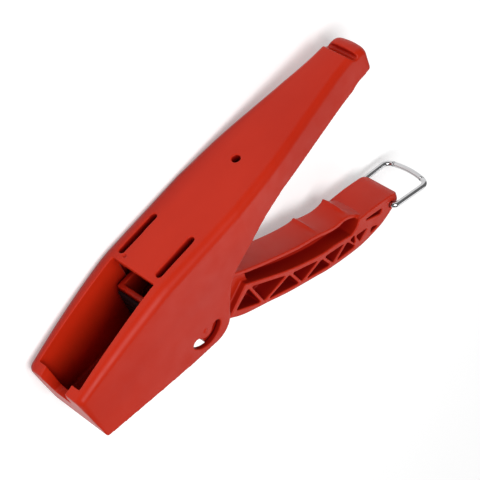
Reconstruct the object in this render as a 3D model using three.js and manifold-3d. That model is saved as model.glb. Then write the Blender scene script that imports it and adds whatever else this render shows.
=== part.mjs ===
// A one-hand push clamp: a moulded hollow body with a nose trough, a curved trussed lever, a sliding
// jaw that the lever pushes towards the nose wall, a torsion return spring and a wire locking bail.
// Millimetres. The clamp lies on its side: +X runs along the body to the tail, +Y is the way the top
// face looks, +Z is up. The origin is on the lever pivot's axis, in the plane of the side it rests on.
// Shapes are built about the body's middle plane, z = 0, and the whole group is raised by HALF_W.
import * as THREE from "three";
import { mergeVertices } from "three/addons/utils/BufferGeometryUtils.js";
import Module from "manifold-3d";

const wasm = await Module();
wasm.setup();

// ---- driving dimensions ----
const HALF_W = 17; // half the body's width over its flat sides
const NOSE_X = -56; // front of the nose wall at its top
const NOSE_FOOT = [-54, -2.9]; // front lower corner of the nose
const BRIDGE_X = -6.7; // front edge of the top skin, where the open trough ends
const TAIL_X = 121;
const UNDERSIDE_Y = 23.2; // lower edge of the handle's walls
const TAIL_FOOT_Y = 24.6; // lower face of the tail, which the closed lever's tip comes up to
const WALL = 2.4; // moulded wall and top skin
const TROUGH_HALF_W = 11.2;
const TROUGH_FRONT_X = -51.8;
const FLOOR_Y = -0.5; // top of the trough's floor
const FLOOR_T = 2.2;
const CHEEK = { x: 3.5, y: -1.9, r: 9.4 }; // round lower corner of the side walls, below the pivot
const RUNNING_GAP = 0.35; // between pieces that slide or turn on each other

const PIN_R = 2; // lever pivot pin
const PIN_HALF_L = 15.6;
const SQUEEZE = THREE.MathUtils.degToRad(35); // full travel of the lever
const HORN_R = 20.5; // pivot axis to drive pin axis
const DRIVE_PIN = [HORN_R * Math.sin(SQUEEZE / 2), HORN_R * Math.cos(SQUEEZE / 2)];
const DRIVE_PIN_R = 1.5;

const HUB_R = 5.2;
const HUB_HALF_W = HALF_W - WALL - RUNNING_GAP;
const SPRING_HALF_W = 3.4; // the hub's middle gap, which holds the return spring
const HORN_HALF_W = 6.8;
const BEAM_HALF_W = 9; // flange, ribs and lower rim of the lever
const PLATE_HALF_W = 7.1; // finger plate on top of the lever
const WEB_HALF_T = 1.3;
const SKIN_T = 1.5; // finger plate, ribs and lower rim

const JAW_X = -11.5; // front of the sliding jaw, jaw open
const JAW_TOP = 24.4;
const JAW_HALF_W = 9.8;
const JAW_T = 2;

const BAIL_R = 1.2; // bail wire
const BAIL_AXIS = [106.7, -51];
const BAIL_END = [125.5, -57]; // middle of the bail's outer bar, bail in line with the lever

const ARC = 32; // sides of a full circle
const CURVE_SEGMENTS = 8; // steps along a curved stretch of an outline

// ---- materials ----
const plastic = (color) => new THREE.MeshStandardMaterial({ color, roughness: 0.42, metalness: 0 });
const steel = new THREE.MeshStandardMaterial({ color: 0xb9bcc0, roughness: 0.25, metalness: 1 });
const RED = plastic(0xbe3a24);
const NYLON = plastic(0xe6e2d6);
const RUBBER = new THREE.MeshStandardMaterial({ color: 0x2a1416, roughness: 0.9, metalness: 0 });

// ---- solids ----
function solid(geometry) {
  const bare = new THREE.BufferGeometry();
  const source = geometry.index ? geometry.toNonIndexed() : geometry;
  bare.setAttribute("position", source.getAttribute("position"));
  const merged = mergeVertices(bare, 1e-4);
  return new wasm.Manifold(
    new wasm.Mesh({
      numProp: 3,
      vertProperties: merged.attributes.position.array,
      triVerts: new Uint32Array(merged.index.array),
    }),
  );
}

function mesh(name, made, material) {
  const data = made.getMesh();
  const geometry = new THREE.BufferGeometry();
  geometry.setAttribute("position", new THREE.BufferAttribute(data.vertProperties, 3));
  geometry.setIndex(new THREE.BufferAttribute(data.triVerts, 1));
  geometry.computeVertexNormals();
  const result = new THREE.Mesh(geometry, material);
  result.name = name;
  return result;
}

const points2 = (list) => list.map(([x, y]) => new THREE.Vector2(x, y));

// An outline in the X-Y plane, from z0 to z1.
function prism(outline, z0, z1) {
  const shape = outline instanceof THREE.Shape ? outline : new THREE.Shape(points2(outline));
  const settings = { depth: z1 - z0, bevelEnabled: false, curveSegments: CURVE_SEGMENTS };
  const geometry = new THREE.ExtrudeGeometry(shape, settings);
  geometry.translate(0, 0, z0);
  return solid(geometry);
}

// The same outline on both sides of the middle plane, from z0 to z1 and from -z1 to -z0.
const bothSides = (outline, z0, z1) => prism(outline, z0, z1).add(prism(outline, -z1, -z0));

// An outline in the X-Z plane, from y0 to y1.
function planPrism(shape, y0, y1) {
  const settings = { depth: y1 - y0, bevelEnabled: false, curveSegments: CURVE_SEGMENTS };
  const geometry = new THREE.ExtrudeGeometry(shape, settings);
  geometry.rotateX(Math.PI / 2);
  geometry.translate(0, y1, 0);
  return solid(geometry);
}

// Points along a smooth curve through the given ones.
function along(list, steps) {
  return new THREE.SplineCurve(points2(list)).getPoints(steps).map(({ x, y }) => [x, y]);
}

function box(x0, x1, y0, y1, z0, z1) {
  const geometry = new THREE.BoxGeometry(x1 - x0, y1 - y0, z1 - z0);
  geometry.translate((x0 + x1) / 2, (y0 + y1) / 2, (z0 + z1) / 2);
  return solid(geometry);
}

function rod([x, y], r, z0, z1, sides = ARC) {
  const geometry = new THREE.CylinderGeometry(r, r, z1 - z0, sides);
  geometry.rotateX(Math.PI / 2);
  geometry.translate(x, y, (z0 + z1) / 2);
  return solid(geometry);
}

// A round wire through the given points. `bends` is how far each corner's rounding reaches.
function wire(corners, r, bends, sides = 8, stepsPerBend = 5) {
  const path = new THREE.CurvePath();
  let from = corners[0];
  for (let i = 1; i < corners.length - 1; i++) {
    const reach = bends[i - 1];
    const into = new THREE.Vector3().subVectors(corners[i - 1], corners[i]).setLength(reach).add(corners[i]);
    const out = new THREE.Vector3().subVectors(corners[i + 1], corners[i]).setLength(reach).add(corners[i]);
    path.add(new THREE.LineCurve3(from, into));
    path.add(new THREE.QuadraticBezierCurve3(into, corners[i], out));
    from = out;
  }
  path.add(new THREE.LineCurve3(from, corners[corners.length - 1]));
  const route = new THREE.CatmullRomCurve3(
    path.curves.flatMap((c, i) => {
      const n = c instanceof THREE.LineCurve3 ? 2 : stepsPerBend;
      return c.getPoints(n).slice(i ? 1 : 0);
    }),
    false,
    "centripetal",
  );
  return tube(route, r, sides, route.points.length - 1);
}

function tube(route, r, sides, steps) {
  const section = new THREE.Shape();
  for (let i = 0; i < sides; i++) {
    const a = (2 * Math.PI * i) / sides;
    if (i) section.lineTo(r * Math.cos(a), r * Math.sin(a));
    else section.moveTo(r, 0);
  }
  return solid(new THREE.ExtrudeGeometry(section, { extrudePath: route, steps, bevelEnabled: false }));
}

// ---- the body's form ----
const smooth = (list) => {
  const curve = new THREE.SplineCurve(points2(list));
  return (x) => {
    let lo = 0;
    let hi = 1;
    for (let i = 0; i < 40; i++) {
      const mid = (lo + hi) / 2;
      if (curve.getPoint(mid).x < x) lo = mid;
      else hi = mid;
    }
    return curve.getPoint(lo).y;
  };
};

// Half width along the body: flat and parallel past the pivot, drawn in to the nose and the tail.
const FLAT_X = [-10, 34];
const noseHalfW = (x) => HALF_W - 2.2 * ((FLAT_X[0] - x) / (FLAT_X[0] - NOSE_X)) ** 1.2;
const tailHalfW = smooth([[FLAT_X[1], HALF_W], [57, 15.1], [85, 10.9], [104, 8.2], [TAIL_X + 1, 7.4]]);
const NOSE_CORNER_R = 2.6;
const TAIL_END = { length: 3.8, power: 2.3 }; // the tail's rounded end: its length, and how square it is
// How far a rounded end corner draws the side in, at a distance from the end.
function cornerInset(fromEnd, r) {
  return fromEnd < r ? r - Math.sqrt(r * r - (r - Math.max(fromEnd, 0)) ** 2) : 0;
}
function halfW(x) {
  if (x < FLAT_X[0]) return noseHalfW(x) - cornerInset(x - NOSE_X, NOSE_CORNER_R);
  if (x <= FLAT_X[1]) return HALF_W;
  const u = Math.min(Math.max((x - TAIL_X + TAIL_END.length) / TAIL_END.length, 0), 0.998);
  return tailHalfW(x) * (1 - u ** TAIL_END.power) ** (1 / TAIL_END.power);
}

// Height of the top face: nearly straight over the handle, falling in a shallow arch to the nose.
const topAft = (x) => 36.9 + 0.0205 * x;
const RIDGE_X = 113.4; // the ridge at the tail is lower than the top face and falls to a round end
const ridgeY = smooth([[RIDGE_X, 37.5], [115.5, 37.5], [117.6, 37], [119.6, 35.6], [TAIL_X, 32.8]]);
function topY(x) {
  if (x > RIDGE_X) return ridgeY(x);
  if (x >= BRIDGE_X) return topAft(x);
  const t = (x - NOSE_X) / (BRIDGE_X - NOSE_X);
  return 24.3 + (topAft(BRIDGE_X) - 24.3) * t + 4 * t * (1 - t);
}
// Radius of the top face's long edges: fullest over the pivot.
function edgeR(x) {
  if (x < BRIDGE_X) return THREE.MathUtils.mapLinear(x, NOSE_X, BRIDGE_X, 3.2, 4.6);
  return THREE.MathUtils.mapLinear(x, BRIDGE_X, TAIL_X, 4.6, 2.8);
}

// A solid through cross-sections at the stations: a tall box with its two upper edges rounded.
function form(stations, inset, bottom) {
  const ARC_STEPS = 6;
  const rings = stations.map((x) => {
    const w = halfW(x) - inset;
    const y = topY(x) - inset;
    const r = Math.min(Math.max(edgeR(x) - inset, 0.8), 0.9 * w);
    const ring = [[bottom, w]];
    for (let i = 0; i <= ARC_STEPS; i++) {
      const a = (Math.PI / 2) * (i / ARC_STEPS);
      ring.push([y - r + r * Math.sin(a), w - r + r * Math.cos(a)]);
    }
    const far = ring.map(([u, v]) => [u, -v]).reverse();
    return [...ring, ...far].map(([u, v]) => [x, u, v]);
  });
  const n = rings[0].length;
  const vertices = rings.flat(2);
  const faces = [];
  for (let s = 0; s + 1 < rings.length; s++)
    for (let i = 0; i < n; i++) {
      const a = s * n + i;
      const b = s * n + ((i + 1) % n);
      faces.push(a, b + n, b, a, a + n, b + n);
    }
  for (let i = 1; i + 1 < n; i++) {
    const last = (rings.length - 1) * n;
    faces.push(0, i, i + 1, last, last + i + 1, last + i);
  }
  const geometry = new THREE.BufferGeometry();
  geometry.setAttribute("position", new THREE.Float32BufferAttribute(vertices, 3));
  geometry.setIndex(faces);
  return solid(geometry);
}

// Stations across a rounded end corner, closest together where it turns most.
const cornerStations = (r) => [0, 0.04, 0.15, 0.35, 0.65, 1].map((t) => t * r);

const stationsBetween = (x0, x1, step) => {
  const n = Math.ceil((x1 - x0) / step);
  return Array.from({ length: n + 1 }, (_, i) => x0 + ((x1 - x0) * i) / n);
};

// Side view of the body's walls.
function sideOutline() {
  const above = 60;
  const shape = new THREE.Shape();
  shape.moveTo(NOSE_X - 0.1, above);
  shape.lineTo(NOSE_X, 22);
  shape.lineTo(NOSE_FOOT[0], NOSE_FOOT[1] + 1.5);
  shape.quadraticCurveTo(NOSE_FOOT[0], NOSE_FOOT[1], NOSE_FOOT[0] + 1.5, NOSE_FOOT[1] - 0.2);
  const [from, to] = [-98, -10].map(THREE.MathUtils.degToRad);
  shape.absarc(CHEEK.x, CHEEK.y, CHEEK.r, from, to, false);
  shape.splineThru(points2([[15.9, 3.5], [20.2, 10.2], [30.5, 15.6], [44, 20.8], [56, UNDERSIDE_Y]]));
  shape.lineTo(TAIL_X - 15, UNDERSIDE_Y);
  shape.lineTo(TAIL_X - 9.5, TAIL_FOOT_Y);
  shape.lineTo(TAIL_X, TAIL_FOOT_Y);
  shape.lineTo(TAIL_X, above);
  return shape;
}

// The relief slot below the pivot, which lets the wall round the pin's socket flex.
function smileOutline() {
  const R = 5.9;
  const HALF = 2.2;
  const from = THREE.MathUtils.degToRad(-155);
  const to = THREE.MathUtils.degToRad(-28);
  const end = (a) => [R * Math.cos(a), R * Math.sin(a)];
  const shape = new THREE.Shape();
  shape.absarc(0, 0, R + HALF, from, to, false);
  shape.absarc(...end(to), HALF, to, to + Math.PI, false);
  shape.absarc(0, 0, R - HALF, to, from, true);
  shape.absarc(...end(from), HALF, from + Math.PI, from + 2 * Math.PI, false);
  return shape;
}

function body() {
  const REACH = 60;
  const STEP = 4;
  const outerStations = [
    NOSE_X - 1,
    ...cornerStations(NOSE_CORNER_R).map((t) => NOSE_X + t),
    ...stationsBetween(NOSE_X + NOSE_CORNER_R + 1, BRIDGE_X, STEP),
    ...stationsBetween(FLAT_X[1], RIDGE_X, STEP),
    RIDGE_X + 0.1,
    115.5,
    ...cornerStations(TAIL_END.length).map((t) => TAIL_X - t).reverse(),
  ];
  let made = form(outerStations, 0, -REACH).intersect(prism(sideOutline(), -REACH, REACH));
  // The trough is open above, and runs on under the top skin.
  made = made.subtract(box(TROUGH_FRONT_X, BRIDGE_X, FLOOR_Y, REACH, -TROUGH_HALF_W, TROUGH_HALF_W));
  const BAY_X = -5.5; // front of the hollow that takes the lever's hub
  const roof = topY(BRIDGE_X) - WALL;
  made = made.subtract(box(BRIDGE_X - 1, BAY_X + 1, FLOOR_Y, roof, -TROUGH_HALF_W, TROUGH_HALF_W));
  // The handle and the pivot bay are open below.
  const TAIL_BLOCK_X = 108.5;
  const hollow = [BAY_X, ...stationsBetween(FLAT_X[1], TAIL_BLOCK_X, STEP)];
  made = made.subtract(form(hollow, WALL, -REACH));
  const hubRoom = new THREE.Shape().absarc(0, 0, HUB_R + RUNNING_GAP + 0.3, 0, 2 * Math.PI, false);
  made = made.subtract(bothSides(hubRoom, SPRING_HALF_W - RUNNING_GAP, HALF_W - WALL));
  // Shallow recess under the trough's floor.
  const recess = [...stationsBetween(-42, FLAT_X[0], 8), BAY_X + 1];
  const underFloor = box(-REACH, REACH, -REACH, FLOOR_Y - FLOOR_T, -REACH, REACH);
  made = made.subtract(form(recess, WALL, -REACH).intersect(underFloor));
  // Two deep blind slots in the top skin behind its front edge, each in a rail below the skin.
  const SLOT = { x0: -3.9, x1: 16.3, z: 10, half: 1.3, foot: 32, rail: 1.2 };
  for (const side of [-1, 1]) {
    const z = side * SLOT.z;
    const railHalf = SLOT.half + SLOT.rail;
    const skin = topY(SLOT.x0) - 1;
    const foot = SLOT.foot - SLOT.rail;
    made = made.add(box(BRIDGE_X + 0.8, SLOT.x1 + 1, foot, skin, z - railHalf, z + railHalf));
    made = made.subtract(box(SLOT.x0, SLOT.x1, SLOT.foot, REACH, z - SLOT.half, z + SLOT.half));
  }
  // A blind hole from the top of the handle into a boss below its skin.
  const HOLE = { x: 51.4, r: 1.8, foot: 28.5, bossR: 3.2, bossFoot: 27 };
  const upright = (r, y0, y1) => {
    const geometry = new THREE.CylinderGeometry(r, r, y1 - y0, 16);
    geometry.translate(HOLE.x, (y0 + y1) / 2, 0);
    return solid(geometry);
  };
  made = made.add(upright(HOLE.bossR, HOLE.bossFoot, topY(HOLE.x) - 1));
  made = made.subtract(upright(HOLE.r, HOLE.foot, REACH));
  // The notch in the nose wall: wide at the top, round at the foot.
  const notch = new THREE.Shape();
  const NOTCH = { top: 7.7, foot: 4.9, y: 13.5, round: 2 };
  notch.moveTo(-NOTCH.top - 0.6, 30);
  notch.lineTo(-NOTCH.foot, NOTCH.y + NOTCH.round);
  notch.quadraticCurveTo(-NOTCH.foot, NOTCH.y, -NOTCH.foot + NOTCH.round, NOTCH.y);
  notch.lineTo(NOTCH.foot - NOTCH.round, NOTCH.y);
  notch.quadraticCurveTo(NOTCH.foot, NOTCH.y, NOTCH.foot, NOTCH.y + NOTCH.round);
  notch.lineTo(NOTCH.top + 0.6, 30);
  const notchCut = new THREE.ExtrudeGeometry(notch, { depth: 8, bevelEnabled: false, curveSegments: 4 });
  notchCut.rotateY(Math.PI / 2);
  notchCut.translate(NOSE_X - 2, 0, 0);
  made = made.subtract(solid(notchCut));
  // Relief slots and blind sockets for the pivot pin, in both side walls.
  made = made.subtract(bothSides(smileOutline(), HALF_W - WALL - 1, HALF_W + 1));
  const SOCKET_DEPTH = 1.3;
  const socket = HALF_W - WALL + SOCKET_DEPTH;
  made = made.subtract(rod([0, 0], PIN_R + 0.1, -socket, socket));
  // The groove across the tail's top, and the ridge behind it that the bail hooks over.
  const groove = new THREE.Shape();
  groove.moveTo(109.8, 42);
  groove.lineTo(110.2, 39);
  groove.quadraticCurveTo(112.2, 35.4, 113.2, 35.2);
  groove.quadraticCurveTo(114.3, 35.1, 114.4, 36.3);
  groove.lineTo(114.3, 36.5);
  groove.quadraticCurveTo(114.4, 37.3, 115.1, 37.6);
  groove.lineTo(115.1, 42);
  return made.subtract(prism(groove, -REACH, REACH));
}

// ---- the lever, drawn with the clamp open ----
// Finger plate: two raised lips with hollows between them, and a step down to the end block.
const PLATE_TOP = [
  ...along([[20.5, 2.6], [31.3, -5.9], [47.4, -16.4], [58.5, -22.9], [66.2, -26.3], [68.7, -26.3]], 14),
  ...along([[68.7, -26.3], [70.6, -28.9], [77.4, -32.7], [83.2, -33.9], [85.6, -32.9]], 10).slice(1),
  ...along([[85.6, -32.9], [86.9, -35.4], [88.9, -38.3], [91.4, -41]], 5).slice(1),
];
const FLANGE = along([[27.8, -10.8], [48.1, -26.6], [64.6, -36.6], [74.6, -40.6], [82.4, -44.2]], 10);
const BLOCK_TOP = [[88.7, -40.6], [98.5, -43], [105, -45.2], [109, -46.8], [111.6, -48.8], [112.4, -50.6]];
const RIM = along(
  [
    [111.6, -52.2], [107.2, -53.9], [102, -55.5], [96.5, -56.2], [84, -55.1], [67.7, -49.7], [58, -45],
    [44.4, -38.1], [34.1, -31.9], [21.7, -24.6], [14.6, -18.6],
  ],
  24,
);

const lower = (list, by) => list.map(([x, y]) => [x - by * 0.45, y - by * 0.9]);

// The pocket between two ribs, shrunk so that half a rib's thickness is left on every side.
function pocket(corners, inset) {
  const centre = corners.reduce(([a, b], [x, y]) => [a + x / corners.length, b + y / corners.length], [0, 0]);
  return corners.map(([x, y], i) => {
    const [px, py] = corners[(i + corners.length - 1) % corners.length];
    const [nx, ny] = corners[(i + 1) % corners.length];
    const a = new THREE.Vector2(px - x, py - y).normalize();
    const b = new THREE.Vector2(nx - x, ny - y).normalize();
    const half = Math.sqrt(Math.max((1 - a.dot(b)) / 2, 0.02));
    const towards = a.add(b).normalize();
    if (towards.dot(new THREE.Vector2(centre[0] - x, centre[1] - y)) < 0) towards.negate();
    return [x + (towards.x * inset) / half, y + (towards.y * inset) / half];
  });
}

// Ribs zigzag between the flange and the lower rim; each triangle between them is a pocket.
const RIB_FLANGE_ENDS = [[28.6, -13.2], [48, -28.8], [65, -39], [79.6, -44.6]];
const RIB_RIM_ENDS = [[17.6, -18.4], [31.6, -29.4], [51.2, -40.6], [68.6, -49], [83.6, -53.4]];

// The small pockets in the end block.
const END_POCKETS = [
  [[80.9, -46.2], [83.8, -46], [82.6, -51]],
  [[84.4, -47.4], [91.3, -49.8], [85.3, -52.4]],
  [[89.5, -43.6], [101.6, -47.8], [100.2, -50]],
  [[91.6, -54.2], [93.4, -51.8], [97.2, -54.8]],
];

function lever() {
  // Hub halves either side of the spring, each with a round foot that fills the wall's relief slot.
  let made = bothSides(
    new THREE.Shape().absarc(0, 0, HUB_R, 0, 2 * Math.PI, false),
    SPRING_HALF_W,
    HUB_HALF_W,
  );
  const foot = [[-1.5, -4.2], [-1.5, -10], [1.5, -11], [7.5, -11], [10.8, -8], [11.2, -4], [4, 4.6]];
  made = made.add(bothSides(foot, SPRING_HALF_W, HUB_HALF_W));
  // Horns carry the drive pin.
  const [hx, hy] = DRIVE_PIN;
  const HORN_END_R = 3.4;
  const horn = new THREE.Shape();
  horn.moveTo(-4.2, 2.8);
  horn.lineTo(5, 1);
  horn.lineTo(hx + HORN_END_R, hy);
  horn.absarc(hx, hy, HORN_END_R, 0, Math.PI, false);
  made = made.add(bothSides(horn, SPRING_HALF_W, HORN_HALF_W));
  // Neck from the hub to the trussed part.
  const neck = [
    [-1.2, -8], [1, 4.8], [6, 6.4], [12, 6.2], PLATE_TOP[0],
    [31.3, -6.2], [30, -20], [22, -23.2], [15.5, -17.4], [6, -10],
  ];
  made = made.add(bothSides(neck, SPRING_HALF_W, 6));
  const stem = [[20, 2], [31, -6.6], [33, -30], [20.5, -22.4], [15.6, -17.4], [14.5, -10]];
  made = made.add(prism(stem, -3.5, 3.5));
  // Finger plate, its web, and the trussed beam.
  const plate = [...PLATE_TOP, ...lower(PLATE_TOP, SKIN_T + 0.3).reverse()];
  made = made.add(prism(plate, -PLATE_HALF_W, PLATE_HALF_W));
  const flangeBack = [...FLANGE].reverse().map(([x, y]) => [x, y - 1.5]);
  const web = [...PLATE_TOP.slice(1), [90, -46], [84, -48], ...flangeBack];
  made = made.add(prism(lower(web, 0.4), -WEB_HALF_T, WEB_HALF_T));
  const beam = [...FLANGE, [85.6, -43.6], ...BLOCK_TOP, ...RIM];
  made = made.add(prism(beam, -BEAM_HALF_W, BEAM_HALF_W));
  // The tip's corners are rounded.
  const TIP = { from: 104.2, to: 112.5, half: BEAM_HALF_W + 0.02, round: 3 };
  const tip = new THREE.Shape();
  tip.moveTo(TIP.from - 1, -TIP.half);
  tip.absarc(TIP.to - TIP.round, -TIP.half + TIP.round, TIP.round, -Math.PI / 2, 0, false);
  tip.absarc(TIP.to - TIP.round, TIP.half - TIP.round, TIP.round, 0, Math.PI / 2, false);
  tip.lineTo(TIP.from - 1, TIP.half);
  const beyond = box(TIP.from, TIP.to + 8, -60, -30, -BEAM_HALF_W - 1, BEAM_HALF_W + 1);
  made = made.subtract(beyond.subtract(planPrism(tip, -61, -29)));
  // Pockets on both faces.
  const pockets = [];
  RIB_FLANGE_ENDS.forEach((top, i) => {
    pockets.push([RIB_RIM_ENDS[i], top, RIB_RIM_ENDS[i + 1]]);
    const nextTop = RIB_FLANGE_ENDS[i + 1];
    if (nextTop) pockets.push([top, nextTop, RIB_RIM_ENDS[i + 1]]);
  });
  const outlines = [...pockets.map((corners) => pocket(corners, SKIN_T / 2)), ...END_POCKETS];
  for (const outline of outlines)
    made = made.subtract(bothSides(outline, WEB_HALF_T, BEAM_HALF_W + 1));
  // Bores for the pivot pin, the drive pin and the bail.
  const BORE_CLEAR = 0.12;
  made = made.subtract(rod([0, 0], PIN_R + BORE_CLEAR, -HALF_W, HALF_W));
  made = made.subtract(rod(DRIVE_PIN, DRIVE_PIN_R + BORE_CLEAR, -HALF_W, HALF_W));
  return made.subtract(rod(BAIL_AXIS, BAIL_R + 0.2, -HALF_W, HALF_W, 12));
}

// ---- the sliding jaw: a front plate with two arms back to the drive pin ----
function jaw() {
  const ARM_FOOT = 13;
  const armBack = DRIVE_PIN[0] + 4;
  let made = box(JAW_X, JAW_X + JAW_T, FLOOR_Y + RUNNING_GAP, JAW_TOP, -JAW_HALF_W, JAW_HALF_W);
  const arm = [
    [JAW_X + 0.5, JAW_TOP], [JAW_X + 0.5, 6], [JAW_X + JAW_T + 1, 6], [-4, ARM_FOOT],
    [armBack, ARM_FOOT + 1], [armBack, JAW_TOP],
  ];
  made = made.add(bothSides(arm, JAW_HALF_W - JAW_T, JAW_HALF_W));
  const [px, py] = DRIVE_PIN;
  const half = DRIVE_PIN_R + 0.3;
  return made.subtract(box(px - half, px + half, py - 2.4, py + 3, -HALF_W, HALF_W));
}

// ---- return spring: a torsion coil on a bush, one leg on the trough floor, one in the lever ----
const COIL_R = 4.6;
const SPRING_WIRE_R = 0.6;
const COIL_HALF_L = 2.4;
function returnSpring() {
  const TURNS = 3;
  const a0 = THREE.MathUtils.degToRad(120);
  const a1 = THREE.MathUtils.degToRad(62) - 2 * Math.PI * TURNS;
  const STEPS = 14 * TURNS;
  const route = [new THREE.Vector3(-8.6, 0.9, COIL_HALF_L), new THREE.Vector3(-5.4, 2.6, COIL_HALF_L)];
  for (let i = 0; i <= STEPS; i++) {
    const a = THREE.MathUtils.lerp(a0, a1, i / STEPS);
    const z = THREE.MathUtils.lerp(COIL_HALF_L, -COIL_HALF_L, i / STEPS);
    route.push(new THREE.Vector3(COIL_R * Math.cos(a), COIL_R * Math.sin(a), z));
  }
  route.push(new THREE.Vector3(6, 2.1, -1.7), new THREE.Vector3(12.5, -1.4, -1.2));
  const curve = new THREE.CatmullRomCurve3(route, false, "centripetal");
  return tube(curve, SPRING_WIRE_R, 6, route.length - 1);
}

function bush() {
  const outer = rod([0, 0], COIL_R - SPRING_WIRE_R - 0.35, -SPRING_HALF_W + 0.3, SPRING_HALF_W - 0.3);
  return outer.subtract(rod([0, 0], PIN_R + 0.3, -HALF_W, HALF_W));
}

// ---- locking bail: one bent wire, its two ends turned into the bore of the lever's tip ----
function bail() {
  const LEG_HALF_W = 10.8;
  const CORNER_HALF_W = 11.4;
  const INNER = 3.2; // the turned-in ends stop short of each other
  const [ax, ay] = BAIL_AXIS;
  const [ex, ey] = BAIL_END;
  const at = (t, z) => new THREE.Vector3(ax + (ex - ax) * t, ay + (ey - ay) * t, z);
  const half = [at(0, INNER), at(0, LEG_HALF_W), at(1.05, CORNER_HALF_W)];
  const corners = [...half, at(1.21, 0), ...half.map((p) => new THREE.Vector3(p.x, p.y, -p.z)).reverse()];
  return wire(corners, BAIL_R, [2, 2.8, 8, 2.8, 2]);
}

// ---- assembly ----
const clamp = new THREE.Group();
clamp.name = "push_clamp";
const inPlace = new THREE.Group();
inPlace.position.z = HALF_W;
clamp.add(inPlace);

inPlace.add(mesh("body", body(), RED));
inPlace.add(mesh("lever", lever(), RED));
inPlace.add(mesh("lever_pivot_pin", rod([0, 0], PIN_R, -PIN_HALF_L, PIN_HALF_L), steel));
inPlace.add(mesh("spring_bush", bush(), NYLON));
inPlace.add(mesh("return_spring", returnSpring(), steel));
inPlace.add(mesh("drive_pin", rod(DRIVE_PIN, DRIVE_PIN_R, -JAW_HALF_W + 0.2, JAW_HALF_W - 0.2), steel));
inPlace.add(mesh("sliding_jaw", jaw(), RED));
const PAD_T = 1.2;
const padBack = JAW_X - 0.3;
const pad = box(padBack - PAD_T, padBack, 1, JAW_TOP - 2, -JAW_HALF_W + 0.8, JAW_HALF_W - 0.8);
inPlace.add(mesh("jaw_pad", pad, RUBBER));
inPlace.add(mesh("lock_bail", bail(), steel));

export default clamp;
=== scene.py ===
"""Looks for a moulded one-hand push clamp that lies on its side with its lever open.

Shapes are in millimetres about the body's middle plane (z = 0) and about the lever pivot's axis, as the
clamp is drawn; MM and HALF_W take them into the frame, which is in metres with the clamp's side on z = 0.
"""
import math

import bmesh
import bpy
import numpy as np
from mathutils import Matrix, Vector


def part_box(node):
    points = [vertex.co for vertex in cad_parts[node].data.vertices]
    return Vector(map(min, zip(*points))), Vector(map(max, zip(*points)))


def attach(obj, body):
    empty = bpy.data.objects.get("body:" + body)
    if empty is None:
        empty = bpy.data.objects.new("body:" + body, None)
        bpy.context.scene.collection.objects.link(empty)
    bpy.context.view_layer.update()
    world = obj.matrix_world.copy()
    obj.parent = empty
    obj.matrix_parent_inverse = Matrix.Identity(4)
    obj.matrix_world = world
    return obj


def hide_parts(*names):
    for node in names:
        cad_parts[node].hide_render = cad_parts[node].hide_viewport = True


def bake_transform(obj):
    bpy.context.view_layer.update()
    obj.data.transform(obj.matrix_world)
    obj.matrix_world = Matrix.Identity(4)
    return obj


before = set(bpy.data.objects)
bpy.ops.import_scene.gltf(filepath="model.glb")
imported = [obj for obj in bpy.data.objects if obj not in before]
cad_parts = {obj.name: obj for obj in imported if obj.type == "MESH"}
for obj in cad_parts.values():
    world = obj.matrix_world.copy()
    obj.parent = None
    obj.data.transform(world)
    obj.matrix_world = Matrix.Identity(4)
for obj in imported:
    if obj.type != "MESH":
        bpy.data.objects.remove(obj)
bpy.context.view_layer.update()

scene = bpy.context.scene
MM = 0.001
HALF_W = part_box("body")[1].z / 2 / MM

# ---- driving dimensions, millimetres ----
NOSE_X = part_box("body")[0].x / MM
TAIL_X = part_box("body")[1].x / MM
NOSE_FOOT = (NOSE_X + 2, -2.9)
NOSE_TOP_Y = 24.3
BRIDGE_X = -6.7  # front edge of the top skin
UNDERSIDE_Y = 23.2
TAIL_FOOT_Y = 24.6
WALL = 2.4
TROUGH_HALF_W = 11.2
TROUGH_FRONT_X = -51.8
FLOOR_Y = -0.5
FLOOR_T = 2.2
CHEEK = (3.5, -1.9, 9.4)  # centre and radius of the side walls' round lower corner
RUNNING_GAP = 0.35
REACH = 70.0  # further out than any of the clamp's surfaces

PIN_R = 2.0
HUB_R = 5.2
HUB_HALF_W = HALF_W - WALL - RUNNING_GAP
SPRING_HALF_W = 3.4
HORN_HALF_W = 6.8
BEAM_HALF_W = 9.0
PLATE_HALF_W = 7.1
WEB_HALF_T = 1.3
SKIN_T = 1.5
SQUEEZE = math.radians(35)
HORN_R = 20.5
DRIVE_PIN = (HORN_R * math.sin(SQUEEZE / 2), HORN_R * math.cos(SQUEEZE / 2))
DRIVE_PIN_R = 1.5

JAW_X = -11.5
JAW_TOP = 24.4
JAW_HALF_W = 9.8
JAW_T = 2.0

BAIL_R = 1.2
BAIL_AXIS = (106.7, -51.0)
BAIL_END = (125.5, -57.0)

COIL_R = 4.6
SPRING_WIRE_R = 0.6
COIL_HALF_L = 2.4

VOXEL = 0.3  # grid on which the mouldings' edges are softened
MOST_TRIANGLES = 190_000  # of one softened moulding


# ---- outlines ----
def curve_through(points, per_span=12):
    """A smooth curve through the points, as a denser list."""
    p = np.array(points, float)
    p = np.vstack([2 * p[0] - p[1], p, 2 * p[-1] - p[-2]])
    out = []
    for a, b, c, d in zip(p, p[1:], p[2:], p[3:]):
        for t in np.linspace(0, 1, per_span, endpoint=False):
            out.append(0.5 * (2 * b + (c - a) * t + (2 * a - 5 * b + 4 * c - d) * t**2
                              + (3 * b - a - 3 * c + d) * t**3))
    out.append(p[-2])
    return [tuple(q) for q in out]


def arc(x, y, r, start, end, steps=24):
    """Points of a circular arc, from one angle to another, in degrees."""
    return [(x + r * math.cos(a), y + r * math.sin(a)) for a in np.radians(np.linspace(start, end, steps))]


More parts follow.
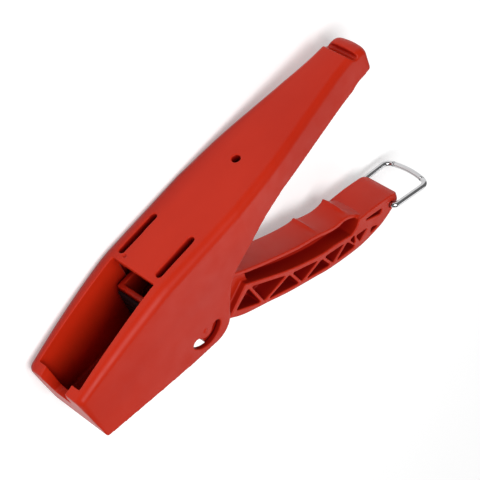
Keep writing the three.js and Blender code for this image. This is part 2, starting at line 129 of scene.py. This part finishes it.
def bend(a, b, c, steps=8):
    """A rounded corner from a to c, drawn towards b."""
    a, b, c = map(np.array, (a, b, c))
    return [tuple((1 - t) ** 2 * a + 2 * t * (1 - t) * b + t * t * c) for t in np.linspace(0, 1, steps)]


def rounded(points, r, steps=5):
    """A closed outline with every corner rounded by up to r."""
    p = [np.array(q, float) for q in points]
    out = []
    for i, corner in enumerate(p):
        before, after = p[i - 1] - corner, p[(i + 1) % len(p)] - corner
        reach = min(r, 0.45 * np.linalg.norm(before), 0.45 * np.linalg.norm(after))
        start = corner + before / np.linalg.norm(before) * reach
        end = corner + after / np.linalg.norm(after) * reach
        out += bend(start, corner, end, steps)
    return out


# ---- solids ----
def piece_from(name, vertices, faces):
    data = bpy.data.meshes.new(name)
    data.from_pydata([(x * MM, y * MM, (z + HALF_W) * MM) for x, y, z in vertices], [], faces)
    bm = bmesh.new()
    bm.from_mesh(data)
    bmesh.ops.recalc_face_normals(bm, faces=bm.faces)
    bm.to_mesh(data)
    bm.free()
    made = bpy.data.objects.new(name, data)
    scene.collection.objects.link(made)
    return made


def loft(rings, name="solid"):
    """A closed solid through rings of equally many points."""
    n = len(rings[0])
    faces = [list(range(n)), [(len(rings) - 1) * n + i for i in reversed(range(n))]]
    for s in range(len(rings) - 1):
        for i in range(n):
            j = (i + 1) % n
            faces.append([s * n + i, s * n + j, (s + 1) * n + j, (s + 1) * n + i])
    return piece_from(name, [v for ring in rings for v in ring], faces)


PLANES = {
    "z": lambda u, v, w: (u, v, w),  # outline in x, y
    "y": lambda u, v, w: (u, w, v),  # outline in x, z
    "x": lambda u, v, w: (w, u, v),  # outline in y, z
}


def prism(outline, low, high, axis="z"):
    place = PLANES[axis]
    return loft([[place(u, v, w) for u, v in outline] for w in (low, high)])


def block(x0, x1, y0, y1, z0, z1):
    return prism([(x0, y0), (x1, y0), (x1, y1), (x0, y1)], z0, z1)


def rod(centre, r, z0, z1, sides=64):
    return prism(arc(*centre, r, 0, 360 * (1 - 1 / sides), sides), z0, z1)


def evaluated(piece):
    """Applies the piece's modifiers."""
    shown = piece.evaluated_get(bpy.context.evaluated_depsgraph_get())
    data = bpy.data.meshes.new_from_object(shown)
    piece.modifiers.clear()
    piece.data = data
    return piece


def combine(piece, operation, *tools):
    for tool in tools:
        step = piece.modifiers.new("combine", "BOOLEAN")
        step.operation = operation
        step.solver = "MANIFOLD"
        step.object = tool
        evaluated(piece)
        bpy.data.objects.remove(tool)
    return piece


def both_sides(make, outline, z0, z1):
    """The same operation's tool on both sides of the middle plane."""
    return make(outline, z0, z1), make(outline, -z1, -z0)


def moulded(piece, name, voxel=VOXEL, rounds=6):
    """Softens a moulding's edges: a fine even mesh, smoothed a little, then thinned if it is too heavy."""
    grid = piece.modifiers.new("grid", "REMESH")
    grid.mode = "VOXEL"
    grid.voxel_size = voxel * MM
    soft = piece.modifiers.new("soft", "SMOOTH")
    soft.factor = 0.5
    soft.iterations = rounds
    evaluated(piece)
    triangles = 2 * len(piece.data.polygons)
    if triangles > MOST_TRIANGLES:
        thin = piece.modifiers.new("thin", "DECIMATE")
        thin.ratio = MOST_TRIANGLES / triangles
        evaluated(piece)
    piece.name = piece.data.name = name
    for face in piece.data.polygons:
        face.use_smooth = True
    return piece


# ---- the body's form ----
FLAT_X = (-10.0, 34.0)
NOSE_CORNER_R = 2.4
TAIL_END = (3.8, 2.3)  # length of the tail's rounded end, and how square it is in plan
RIDGE = np.array(curve_through([(113.4, 37.5), (115.5, 37.5), (117.6, 37.0), (119.6, 35.6), (TAIL_X, 32.8)]))
TAIL_SIDE = np.array(curve_through([
    (FLAT_X[1], HALF_W), (57, 15.1), (85, 10.9), (104, 8.2), (TAIL_X + 1, 7.4),
]))


def corner_inset(from_end, r):
    """How far a rounded end corner draws the side in, at a distance from the end."""
    if from_end >= r:
        return 0.0
    return r - math.sqrt(r * r - (r - max(from_end, 0.0)) ** 2)


def half_w(x):
    if x < FLAT_X[0]:
        taper = 2.2 * ((FLAT_X[0] - x) / (FLAT_X[0] - NOSE_X)) ** 1.2
        return HALF_W - taper - corner_inset(x - NOSE_X, NOSE_CORNER_R)
    if x > FLAT_X[1]:
        length, power = TAIL_END
        u = min(max((x - TAIL_X + length) / length, 0.0), 0.999)
        return float(np.interp(x, *TAIL_SIDE.T)) * (1 - u**power) ** (1 / power)
    return HALF_W


def top_y(x):
    def aft(at):
        return 36.9 + 0.0205 * at

    if x > RIDGE[0][0]:
        return float(np.interp(x, *RIDGE.T))
    if x >= BRIDGE_X:
        return aft(x)
    t = (x - NOSE_X) / (BRIDGE_X - NOSE_X)
    return NOSE_TOP_Y + (aft(BRIDGE_X) - NOSE_TOP_Y) * t + 4 * t * (1 - t)


def edge_r(x):
    """Radius of the top face's long edges: fullest over the pivot."""
    return float(np.interp(x, (NOSE_X, BRIDGE_X, TAIL_X), (3.2, 4.6, 2.8)))


def form(stations, inset, bottom=-REACH, steps=14, crown=0.35):
    """A solid through cross-sections: a tall box with round upper edges and a slightly crowned top."""
    rings = []
    for x in stations:
        w, y = half_w(x) - inset, top_y(x) - inset
        r = min(max(edge_r(x) - inset, 0.8), 0.9 * w)
        near = [(bottom, w)]
        near += [(y - crown - r + r * math.sin(a), w - r + r * math.cos(a))
                 for a in np.linspace(0, math.pi / 2, steps)]
        flat = w - r
        near += [(y - crown * t * t, flat * t) for t in np.linspace(1, 0, 6)[1:]]
        ring = near + [(u, -v) for u, v in reversed(near[:-1])]
        rings.append([(x, u, v) for u, v in ring])
    return loft(rings)


def between(x0, x1, step=1.5):
    return list(np.linspace(x0, x1, max(2, math.ceil((x1 - x0) / step) + 1)))


def corner_stations(r, steps=9):
    return [r * (1 - math.cos(a)) for a in np.linspace(0, math.pi / 2, steps)]


def side_outline():
    outline = [(NOSE_X - 0.1, REACH), (NOSE_X, 22)]
    foot_x, foot_y = NOSE_FOOT
    outline += bend((foot_x, foot_y + 1.5), (foot_x, foot_y), (foot_x + 1.5, foot_y - 0.2))
    outline += arc(*CHEEK, -98, -10, 32)
    outline += curve_through([(15.9, 3.5), (20.2, 10.2), (30.5, 15.6), (44, 20.8), (56, UNDERSIDE_Y)])
    outline += [(TAIL_X - 15, UNDERSIDE_Y), (TAIL_X - 9.5, TAIL_FOOT_Y), (TAIL_X, TAIL_FOOT_Y)]
    return outline + [(TAIL_X, REACH)]


def smile_outline():
    """The curved relief slot below the pivot."""
    r, half, start, end = 5.9, 2.2, -155, -28

    def at(angle):
        return r * math.cos(math.radians(angle)), r * math.sin(math.radians(angle))

    outline = arc(0, 0, r + half, start, end, 40)
    outline += arc(*at(end), half, end, end + 180, 12)[1:-1]
    outline += arc(0, 0, r - half, end, start, 40)
    return outline + arc(*at(start), half, start + 180, start + 360, 12)[1:-1]


def make_body():
    stations = [NOSE_X - 1] + [NOSE_X + t for t in corner_stations(NOSE_CORNER_R)]
    stations += between(NOSE_X + NOSE_CORNER_R + 0.5, FLAT_X[0]) + between(FLAT_X[0] + 1, FLAT_X[1], 4)
    stations += between(FLAT_X[1] + 1, TAIL_X - TAIL_END[0] - 0.5)
    stations += [TAIL_X - t for t in reversed(corner_stations(TAIL_END[0], 14))]
    body = form(stations, 0)
    combine(body, "INTERSECT", prism(side_outline(), -REACH, REACH))

    bay_x, tail_block_x = -5.5, 108.5
    roof = top_y(BRIDGE_X) - WALL
    hub_room = arc(0, 0, HUB_R + RUNNING_GAP + 0.3, 0, 354, 60)
    under_floor = form([*between(-42, FLAT_X[0]), bay_x + 1], WALL)
    combine(under_floor, "INTERSECT", block(-REACH, REACH, -REACH - 1, FLOOR_Y - FLOOR_T, -REACH, REACH))
    combine(
        body, "DIFFERENCE",
        block(TROUGH_FRONT_X, BRIDGE_X, FLOOR_Y, REACH, -TROUGH_HALF_W, TROUGH_HALF_W),
        block(BRIDGE_X - 1, bay_x + 1, FLOOR_Y, roof, -TROUGH_HALF_W, TROUGH_HALF_W),
        form([bay_x, FLAT_X[1], *between(FLAT_X[1] + 1, tail_block_x)], WALL),
        *both_sides(prism, hub_room, SPRING_HALF_W - RUNNING_GAP, HALF_W - WALL),
        under_floor,
    )
    cut_top(body)
    cut_nose(body)
    cut_pivot(body)
    cut_tail(body)
    add_mould_marks(body)
    return moulded(body, "body_moulding")


def cut_top(body):
    """Slots either side of the tongue, the pit beside the far one, and the round hole."""
    x0, x1, z, half, foot, rail = -3.9, 16.3, 10.0, 1.3, 32.0, 1.2
    for side in (-1, 1):
        low, high = sorted((side * (z - half - rail), side * (z + half + rail)))
        combine(body, "UNION", block(BRIDGE_X + 0.8, x1 + 1, foot - rail, top_y(x0) - 1, low, high))
        slot = arc(x1 - half, side * z, half, -90, 90, 9) + arc(x0 + half, side * z, half, 90, 270, 9)
        combine(body, "DIFFERENCE", prism(slot, foot, REACH, "y"))
    pit = arc(-3.9, -7.2, 0.75, 0, 345, 24)
    combine(body, "DIFFERENCE", prism(pit, top_y(0) - 0.9, REACH, "y"))
    hole_x, hole_r, boss_r, boss_foot, hole_foot = 51.4, 1.8, 3.2, 27.0, 28.5
    combine(body, "UNION", prism(arc(hole_x, 0, boss_r, 0, 352, 48), boss_foot, top_y(hole_x) - 1, "y"))
    combine(body, "DIFFERENCE", prism(arc(hole_x, 0, hole_r, 0, 352, 48), hole_foot, REACH, "y"))


def cut_nose(body):
    """The notch in the nose wall: wide above, round at its foot."""
    top, foot, foot_y, r = 7.7, 4.9, 13.5, 2.2
    notch = [(30, -top - 0.6)]
    notch += bend((foot_y + r, -foot), (foot_y, -foot), (foot_y, -foot + r))
    notch += bend((foot_y, foot - r), (foot_y, foot), (foot_y + r, foot))
    combine(body, "DIFFERENCE", prism(notch + [(30, top + 0.6)], NOSE_X - 2, NOSE_X + 6, "x"))


def cut_pivot(body):
    """The relief slot below the pivot in both walls, and the pin's blind sockets."""
    socket = HALF_W - WALL + 1.3
    combine(body, "DIFFERENCE", *both_sides(prism, smile_outline(), HALF_W - WALL - 1, HALF_W + 1),
            rod((0, 0), PIN_R + 0.1, -socket, socket))


def cut_tail(body):
    """The groove across the tail's top, and the ridge behind it that the bail hooks over."""
    groove = [(109.8, 42), (110.2, 39)]
    groove += bend((110.2, 39), (112.2, 35.4), (113.2, 35.2))
    groove += bend((113.2, 35.2), (114.3, 35.1), (114.4, 36.3))
    groove += bend((114.3, 36.5), (114.4, 37.3), (115.1, 37.6)) + [(115.1, 42)]
    combine(body, "DIFFERENCE", prism(groove, -REACH, REACH))


def add_mould_marks(body):
    """The round gate mark over the pivot, on both sides."""
    mark_r, height = 0.75, 0.3
    for side in (-1, 1):
        face = side * HALF_W
        low, high = sorted((face - side * 0.5, face + side * height))
        combine(body, "UNION", rod((0, 0), mark_r, low, high, 32))


# ---- the lever, drawn with the clamp open ----
PLATE_TOP = (
    curve_through([(20.5, 2.6), (31.3, -5.9), (47.4, -16.4), (58.5, -22.9), (66.2, -26.3), (68.7, -26.3)])
    + curve_through([(68.7, -26.3), (70.6, -28.9), (77.4, -32.7), (83.2, -33.9), (85.6, -32.9)])[1:]
    + curve_through([(85.6, -32.9), (86.9, -35.4), (88.9, -38.3), (91.4, -41)])[1:]
)
PLATE_EDGE = curve_through([
    (20.5, 2.6), (31, -5.1), (36.6, -8.2), (42.6, -12), (53.6, -19.2),
    (63.5, -25), (73.2, -30.1), (77.7, -32.1),
    (85.6, -35.2), (91.4, -41),
])  # the smooth edge that the finger grips fade into
FLANGE = curve_through([(27.8, -10.8), (48.1, -26.6), (64.6, -36.6), (74.6, -40.6), (82.4, -44.2)])
BLOCK_TOP = curve_through([
    (88.7, -40.6), (98.5, -43.0), (105, -45.2), (109, -46.8), (111.6, -48.8), (112.4, -50.6),
])
RIM = curve_through([
    (111.6, -52.2), (107.2, -53.9), (102, -55.5), (96.5, -56.2), (84, -55.1), (67.7, -49.7), (58, -45),
    (44.4, -38.1), (34.1, -31.9), (21.7, -24.6), (14.6, -18.6),
])
RIB_FLANGE_ENDS = [(28.6, -13.2), (48, -28.8), (65, -39), (79.6, -44.6)]
RIB_RIM_ENDS = [(17.6, -18.4), (31.6, -29.4), (51.2, -40.6), (68.6, -49), (83.6, -53.4)]
END_POCKETS = [
    [(80.9, -46.2), (83.8, -46), (82.6, -51)],
    [(84.4, -47.4), (91.3, -49.8), (85.3, -52.4)],
    [(89.5, -43.6), (101.6, -47.8), (100.2, -50)],
    [(91.6, -54.2), (93.4, -51.8), (97.2, -54.8)],
]


def lowered(points, by):
    return [(x - by * 0.45, y - by * 0.9) for x, y in points]


def pocket(corners, inset=0.75):
    """The space between ribs, half a rib's thickness in from the lines through their middles."""
    p = [np.array(c, float) for c in corners]
    centre = sum(p) / len(p)
    out = []
    for i, corner in enumerate(p):
        a, b = p[i - 1] - corner, p[(i + 1) % len(p)] - corner
        a, b = a / np.linalg.norm(a), b / np.linalg.norm(b)
        half = math.sqrt(max((1 - a @ b) / 2, 0.02))
        towards = (a + b) / np.linalg.norm(a + b)
        if towards @ (centre - corner) < 0:
            towards = -towards
        out.append(tuple(corner + towards * inset / half))
    return rounded(out, 1.1)


def finger_plate():
    """The plate under the fingers: its grips are full at one edge and fade out at the other."""
    edge = np.array(PLATE_EDGE)
    rings = []
    for z in np.linspace(-PLATE_HALF_W, PLATE_HALF_W, 25):
        t = min(max((z + 1) / (PLATE_HALF_W + 1), 0.0), 1.0)
        fade = t * t * (3 - 2 * t)
        crown = 0.5 * (z / PLATE_HALF_W) ** 4
        top = [(x, y + (min(y, float(np.interp(x, *edge.T))) - y) * fade - crown) for x, y in PLATE_TOP]
        ring = top + lowered(top, SKIN_T + 0.3)[::-1]
        rings.append([(x, y, z) for x, y in ring])
    return loft(rings)


def make_lever():
    hub = arc(0, 0, HUB_R, 0, 354, 60)
    foot = rounded([(-1.5, -4.2), (-1.5, -10), (1.5, -11), (7.5, -11), (10.8, -8), (11.2, -4), (4, 4.6)], 1.2)
    hx, hy = DRIVE_PIN
    horn = [(-4.2, 2.8), (5, 1)] + arc(hx, hy, 3.4, 0, 180)
    neck = [(-1.2, -8), (1, 4.8), (6, 6.4), (12, 6.2), (20.5, 2.6),
            (31.3, -6.2), (30, -20), (22, -23.2), (15.5, -17.4), (6, -10)]
    centre = [(20, 2), (31, -6.6), (33, -30), (20.5, -22.4), (15.6, -17.4), (14.5, -10)]
    web = PLATE_TOP[12:] + [(90, -46), (84, -48)] + [(x, y - 1.5) for x, y in FLANGE[::-1]]
    beam = FLANGE + [(85.6, -43.6)] + BLOCK_TOP + RIM
    lever = prism(beam, -BEAM_HALF_W, BEAM_HALF_W)
    combine(
        lever, "UNION",
        finger_plate(),
        prism(lowered(web, 0.4), -WEB_HALF_T, WEB_HALF_T),
        prism(centre, -3.5, 3.5),
        *both_sides(prism, neck, SPRING_HALF_W, 6),
        *both_sides(prism, hub, SPRING_HALF_W, HUB_HALF_W),
        *both_sides(prism, foot, SPRING_HALF_W, HUB_HALF_W),
        *both_sides(prism, horn, SPRING_HALF_W, HORN_HALF_W),
    )
    pockets = [rounded(corners, 0.9) for corners in END_POCKETS]
    for i, top in enumerate(RIB_FLANGE_ENDS):
        pockets.append(pocket([RIB_RIM_ENDS[i], top, RIB_RIM_ENDS[i + 1]]))
        if i + 1 < len(RIB_FLANGE_ENDS):
            pockets.append(pocket([top, RIB_FLANGE_ENDS[i + 1], RIB_RIM_ENDS[i + 1]]))
    for outline in pockets:
        combine(lever, "DIFFERENCE", *both_sides(prism, outline, WEB_HALF_T, BEAM_HALF_W + 1))
    narrow_tip(lever)
    combine(
        lever, "DIFFERENCE",
        rod((0, 0), PIN_R + 0.12, -HALF_W, HALF_W),
        rod(DRIVE_PIN, DRIVE_PIN_R + 0.12, -HALF_W, HALF_W),
        rod(BAIL_AXIS, BAIL_R + 0.2, -HALF_W, HALF_W),
    )
    return moulded(lever, "lever_moulding")


def narrow_tip(lever):
    start, end, half, r = 101.6, 112.4, BEAM_HALF_W, 3.0
    tip = [(start - 1, -half)] + arc(end - r, r - half, r, -90, 0, 12)
    tip += arc(end - r, half - r, r, 0, 90, 12) + [(start - 1, half)]
    beyond = block(start, end + 8, -60, -30, -BEAM_HALF_W - 1, BEAM_HALF_W + 1)
    combine(beyond, "DIFFERENCE", prism(tip, -61, -29, "y"))
    combine(lever, "DIFFERENCE", beyond)


# ---- the sliding jaw and its pad ----
def make_jaw():
    arm_foot, back = 13.0, DRIVE_PIN[0] + 4
    jaw = block(JAW_X, JAW_X + JAW_T, FLOOR_Y + RUNNING_GAP, JAW_TOP, -JAW_HALF_W, JAW_HALF_W)
    arm = [(JAW_X + 0.5, JAW_TOP), (JAW_X + 0.5, 6), (JAW_X + JAW_T + 1, 6), (-4, arm_foot),
           (back, arm_foot + 1), (back, JAW_TOP)]
    combine(jaw, "UNION", *both_sides(prism, rounded(arm, 0.8), JAW_HALF_W - JAW_T, JAW_HALF_W))
    px, py = DRIVE_PIN
    half = DRIVE_PIN_R + 0.3
    low, high = py - 2.4, py + 3
    slot = rounded([(px - half, low), (px + half, low), (px + half, high), (px - half, high)], half, 8)
    combine(jaw, "DIFFERENCE", prism(slot, -HALF_W, HALF_W))
    return moulded(jaw, "jaw_moulding")


def make_pad():
    thickness, back = 1.2, JAW_X - 0.3
    half_w_pad, foot, top = JAW_HALF_W - 0.8, 1.0, JAW_TOP - 2
    pad = block(back - thickness, back, foot, top, -half_w_pad, half_w_pad)
    # Shallow grooves across the gripping face.
    for i in range(6):
        y = foot + (top - foot) * (i + 1) / 7
        combine(pad, "DIFFERENCE", block(back - thickness - 1, back - thickness + 0.4, y - 0.4, y + 0.4,
                                         -half_w_pad - 1, half_w_pad + 1))
    return moulded(pad, "jaw_pad_face", VOXEL * 0.7, 4)


# ---- pins, spring, bush and bail ----
def turned(name, centre, profile, sides=64):
    """A turned piece on an axis along z: profile is a list of (z, radius)."""
    rings = [[(centre[0] + r * math.cos(a), centre[1] + r * math.sin(a), z)
              for a in np.linspace(0, 2 * math.pi, sides, endpoint=False)] for z, r in profile]
    piece = loft(rings, name)
    for face in piece.data.polygons:
        face.use_smooth = len(face.vertices) == 4
    return piece


def pin_profile(r, half_l, chamfer=0.3):
    return [(-half_l, r - chamfer), (-half_l + chamfer, r), (half_l - chamfer, r), (half_l, r - chamfer)]


def sweep(name, route, r, sides=20):
    """A round wire along a dense route, with rounded-over ends."""
    p = np.array(route, float)
    t = np.gradient(p, axis=0)
    t /= np.linalg.norm(t, axis=1)[:, None]
    side = np.cross(t[0], (0.3, 0.2, 1.0))
    rings = []
    for i, (at, along) in enumerate(zip(p, t)):
        side = side - along * (side @ along)
        side /= np.linalg.norm(side)
        other = np.cross(along, side)
        scale = 0.75 if i in (0, len(p) - 1) else 1.0
        rings.append([tuple(at + r * scale * (side * math.cos(a) + other * math.sin(a)))
                      for a in np.linspace(0, 2 * math.pi, sides, endpoint=False)])
    piece = loft(rings, name)
    for face in piece.data.polygons:
        face.use_smooth = True
    return piece


def bent_route(corners, reaches, steps=14):
    """A route through the corners, each one rounded off from `reach` before it to `reach` after it."""
    p = [np.array(c, float) for c in corners]
    route = [p[0], p[0] + (p[1] - p[0]) * 0.02]
    for i, reach in enumerate(reaches, 1):
        before, after = p[i - 1] - p[i], p[i + 1] - p[i]
        start = p[i] + before / np.linalg.norm(before) * reach
        end = p[i] + after / np.linalg.norm(after) * reach
        route += [np.array(q) for q in bend(start, p[i], end, steps)]
    return route + [p[-1] + (p[-2] - p[-1]) * 0.02, p[-1]]


def make_bail():
    inner, leg, corner = 3.2, 10.8, 11.4
    (ax, ay), (ex, ey) = BAIL_AXIS, BAIL_END

    def at(t, z):
        return ax + (ex - ax) * t, ay + (ey - ay) * t, z

    half = [at(0, inner), at(0, leg), at(1.05, corner)]
    corners = half + [at(1.21, 0)] + [(x, y, -z) for x, y, z in reversed(half)]
    return sweep("bail_wire", bent_route(corners, (2.2, 3.4, 8.5, 3.4, 2.2)), BAIL_R, 32)


def make_spring():
    """Three turns on the bush, one leg on the trough's floor and one under the lever's neck."""
    turns, steps = 3, 144
    start, end = math.radians(120), math.radians(62) - 2 * math.pi * turns
    route = [(-8.6, 0.9, COIL_HALF_L), (-5.4, 2.6, COIL_HALF_L)]
    for t in np.linspace(0, 1, steps):
        a = start + (end - start) * t
        route.append((COIL_R * math.cos(a), COIL_R * math.sin(a), COIL_HALF_L * (1 - 2 * t)))
    route += [(6, 2.1, -1.7), (12.5, -1.4, -1.2)]
    return sweep("spring_wire", route, SPRING_WIRE_R, 16)


def make_bush():
    r, bore, half_l = COIL_R - SPRING_WIRE_R - 0.35, PIN_R + 0.3, SPRING_HALF_W - 0.3
    bush = turned("bush_turned", (0, 0), pin_profile(r, half_l))
    return combine(bush, "DIFFERENCE", rod((0, 0), bore, -HALF_W, HALF_W))


# ---- materials ----
def material(name):
    made = bpy.data.materials.new(name)
    made.use_nodes = True
    nodes = made.node_tree.nodes
    return made, nodes, made.node_tree.links, nodes["Principled BSDF"]


def noise(nodes, links, scale, detail=2.0, stretch=None):
    """A noise pattern in the object's own space."""
    place = nodes.new("ShaderNodeTexCoord")
    pattern = nodes.new("ShaderNodeTexNoise")
    pattern.inputs["Scale"].default_value = scale
    pattern.inputs["Detail"].default_value = detail
    source = place.outputs["Object"]
    if stretch:
        mapping = nodes.new("ShaderNodeMapping")
        mapping.inputs["Scale"].default_value = stretch
        links.new(source, mapping.inputs["Vector"])
        source = mapping.outputs["Vector"]
    links.new(source, pattern.inputs["Vector"])
    return pattern.outputs["Fac"]


def ramp(nodes, links, value, low, high, start=0.3, end=0.7):
    """Turns a pattern into a range of colours or of a grey value."""
    made = nodes.new("ShaderNodeValToRGB")
    made.color_ramp.elements[0].position = start
    made.color_ramp.elements[1].position = end
    for element, colour in zip(made.color_ramp.elements, (low, high)):
        element.color = (*colour, 1) if len(colour) == 3 else (*colour * 3, 1)
    links.new(value, made.inputs["Fac"])
    return made.outputs["Color"]


def bump(nodes, links, shader, layers):
    """Stacks bumps: each layer is (pattern, height in metres, strength)."""
    last = None
    for pattern, distance, strength in layers:
        node = nodes.new("ShaderNodeBump")
        node.inputs["Distance"].default_value = distance
        node.inputs["Strength"].default_value = strength
        links.new(pattern, node.inputs["Height"])
        if last:
            links.new(last, node.inputs["Normal"])
        last = node.outputs["Normal"]
    links.new(last, shader.inputs["Normal"])


def red_plastic():
    """Red moulding plastic, with painted shade: an added occlusion term, which is only a look, darkens its
    colour in recesses, where shade falls.
    """
    made, nodes, links, shader = material("moulded_red_plastic")
    flow = noise(nodes, links, 38, 3, (0.5, 1.0, 1.0))
    colour = ramp(nodes, links, flow, (0.47, 0.017, 0.0035), (0.53, 0.022, 0.005))
    # Painted shade: the occlusion term multiplies the base colour darker in recesses and hollows.
    painted_shade_occlusion = nodes.new("ShaderNodeAmbientOcclusion")
    painted_shade_occlusion.inputs["Distance"].default_value = 0.016
    recess = ramp(nodes, links, painted_shade_occlusion.outputs["AO"], (0.5, 0.2, 0.5), (1.0, 1.0, 1.0), 0.25, 0.85)
    painted_shade_colour = nodes.new("ShaderNodeMix")
    painted_shade_colour.data_type = "RGBA"
    painted_shade_colour.blend_type = "MULTIPLY"
    painted_shade_colour.inputs["Factor"].default_value = 1.0
    links.new(colour, painted_shade_colour.inputs["A"])
    links.new(recess, painted_shade_colour.inputs["B"])
    links.new(painted_shade_colour.outputs["Result"], shader.inputs["Base Color"])
    links.new(ramp(nodes, links, noise(nodes, links, 160, 4), (0.33,), (0.46,)), shader.inputs["Roughness"])
    shader.inputs["IOR"].default_value = 1.49
    shader.inputs["Specular IOR Level"].default_value = 0.16
    bump(nodes, links, shader, [
        (noise(nodes, links, 60, 1), 0.0004, 0.12),
        (noise(nodes, links, 2600, 2), 0.00003, 0.25),
    ])
    return made


def steel(name, base, rough, scale):
    made, nodes, links, shader = material(name)
    grain = noise(nodes, links, scale, 3, (1.0, 1.0, 0.05))
    links.new(ramp(nodes, links, grain, tuple(c * 0.85 for c in base), base), shader.inputs["Base Color"])
    links.new(ramp(nodes, links, grain, (rough * 0.7,), (rough * 1.3,)), shader.inputs["Roughness"])
    shader.inputs["Metallic"].default_value = 1.0
    bump(nodes, links, shader, [(grain, 0.00002, 0.2)])
    return made


def nylon():
    made, nodes, links, shader = material("natural_nylon")
    cloud = noise(nodes, links, 220, 3)
    links.new(ramp(nodes, links, cloud, (0.66, 0.62, 0.52), (0.74, 0.71, 0.62)), shader.inputs["Base Color"])
    shader.inputs["Roughness"].default_value = 0.5
    bump(nodes, links, shader, [(noise(nodes, links, 1800), 0.00003, 0.3)])
    return made


def rubber():
    made, nodes, links, shader = material("dark_elastomer")
    grain = noise(nodes, links, 900, 4)
    links.new(ramp(nodes, links, grain, (0.012, 0.003, 0.004), (0.02, 0.005, 0.007)),
              shader.inputs["Base Color"])
    shader.inputs["Roughness"].default_value = 0.85
    shader.inputs["Specular IOR Level"].default_value = 0.15
    bump(nodes, links, shader, [(grain, 0.00008, 0.4)])
    return made


def dress(piece, finish, body, slot, *nodes):
    """Gives a piece its material and ties it to the frame. A piece with no body is left unattached."""
    piece.data.materials.clear()
    piece.data.materials.append(finish)
    if body:
        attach(piece, body)
    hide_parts(*nodes)
    return piece


# ---- the clamp ----
RED = red_plastic()
PIN_STEEL = steel("turned_steel", (0.62, 0.62, 0.64), 0.3, 900)
SPRING_STEEL = steel("drawn_spring_wire", (0.42, 0.42, 0.44), 0.34, 1400)
BRIGHT_WIRE = steel("bright_plated_wire", (0.6, 0.6, 0.61), 0.09, 1200)

dress(make_body(), RED, "frame", "red_plastic", "body")
dress(make_lever(), RED, "lever", "red_plastic", "lever")
dress(make_jaw(), RED, "jaw", "red_plastic", "sliding_jaw")
dress(make_pad(), rubber(), "jaw", "rubber", "jaw_pad")
dress(turned("pivot_pin_turned", (0, 0), pin_profile(PIN_R, 15.6)),
      PIN_STEEL, "frame", "steel", "lever_pivot_pin")
dress(turned("drive_pin_turned", DRIVE_PIN, pin_profile(DRIVE_PIN_R, JAW_HALF_W - 0.2)),
      PIN_STEEL, "lever", "steel", "drive_pin")
dress(make_bush(), nylon(), "frame", "nylon", "spring_bush")
spring = dress(make_spring(), SPRING_STEEL, None, "spring_steel", "return_spring")
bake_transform(spring)
dress(make_bail(), BRIGHT_WIRE, "bail", "bright_wire", "lock_bail")


# ---- floor, light and camera ----
def make_floor():
    half = 3.0
    data = bpy.data.meshes.new("floor")
    corners = [(-half, -half, 0), (half, -half, 0), (half, half, 0), (-half, half, 0)]
    data.from_pydata(corners, [], [(0, 1, 2, 3)])
    floor = bpy.data.objects.new("floor", data)
    scene.collection.objects.link(floor)
    made, nodes, links, shader = material("pale_floor")
    links.new(ramp(nodes, links, noise(nodes, links, 6), (0.84, 0.84, 0.84), (0.86, 0.86, 0.86)),
              shader.inputs["Base Color"])
    shader.inputs["Roughness"].default_value = 0.9
    shader.inputs["Specular IOR Level"].default_value = 0.0
    shader.inputs["Emission Color"].default_value = (1, 1, 1, 1)
    shader.inputs["Emission Strength"].default_value = 0.33
    data.materials.append(made)


def make_lights():
    world = bpy.data.worlds.new("studio")
    scene.world = world
    world.use_nodes = True
    sky = world.node_tree.nodes["Background"]
    sky.inputs["Color"].default_value = (1.0, 1.0, 1.0, 1)
    sky.inputs["Strength"].default_value = 0.2
    for name, at, size, watts in (
        ("key", (-0.2, 0.42, 0.84), 0.6, 8.0),
        ("rim", (0.35, -0.75, 0.6), 0.6, 1.7),
    ):
        data = bpy.data.lights.new(name, "AREA")
        data.size = size
        data.energy = watts
        light = bpy.data.objects.new(name, data)
        light.location = at
        light.rotation_euler = (Vector(at) - Vector((0.04, 0, 0.02))).to_track_quat("Z", "Y").to_euler()
        scene.collection.objects.link(light)


def make_camera():
    at, target = Vector((-0.1359, 0.4743, 0.3537)), Vector((0.03838, -0.00004, 0.017))
    roll = math.radians(121.36)
    data = bpy.data.cameras.new("camera")
    data.lens = 116.4
    data.sensor_width = 36.0
    data.clip_start, data.clip_end = 0.01, 20.0
    camera = bpy.data.objects.new("camera", data)
    aim = (at - target).to_track_quat("Z", "Y").to_matrix()
    camera.matrix_world = Matrix.Translation(at) @ (aim @ Matrix.Rotation(roll, 3, "Z")).to_4x4()
    scene.collection.objects.link(camera)
    scene.camera = camera


make_floor()
make_lights()
make_camera()
scene.view_settings.view_transform = "Standard"
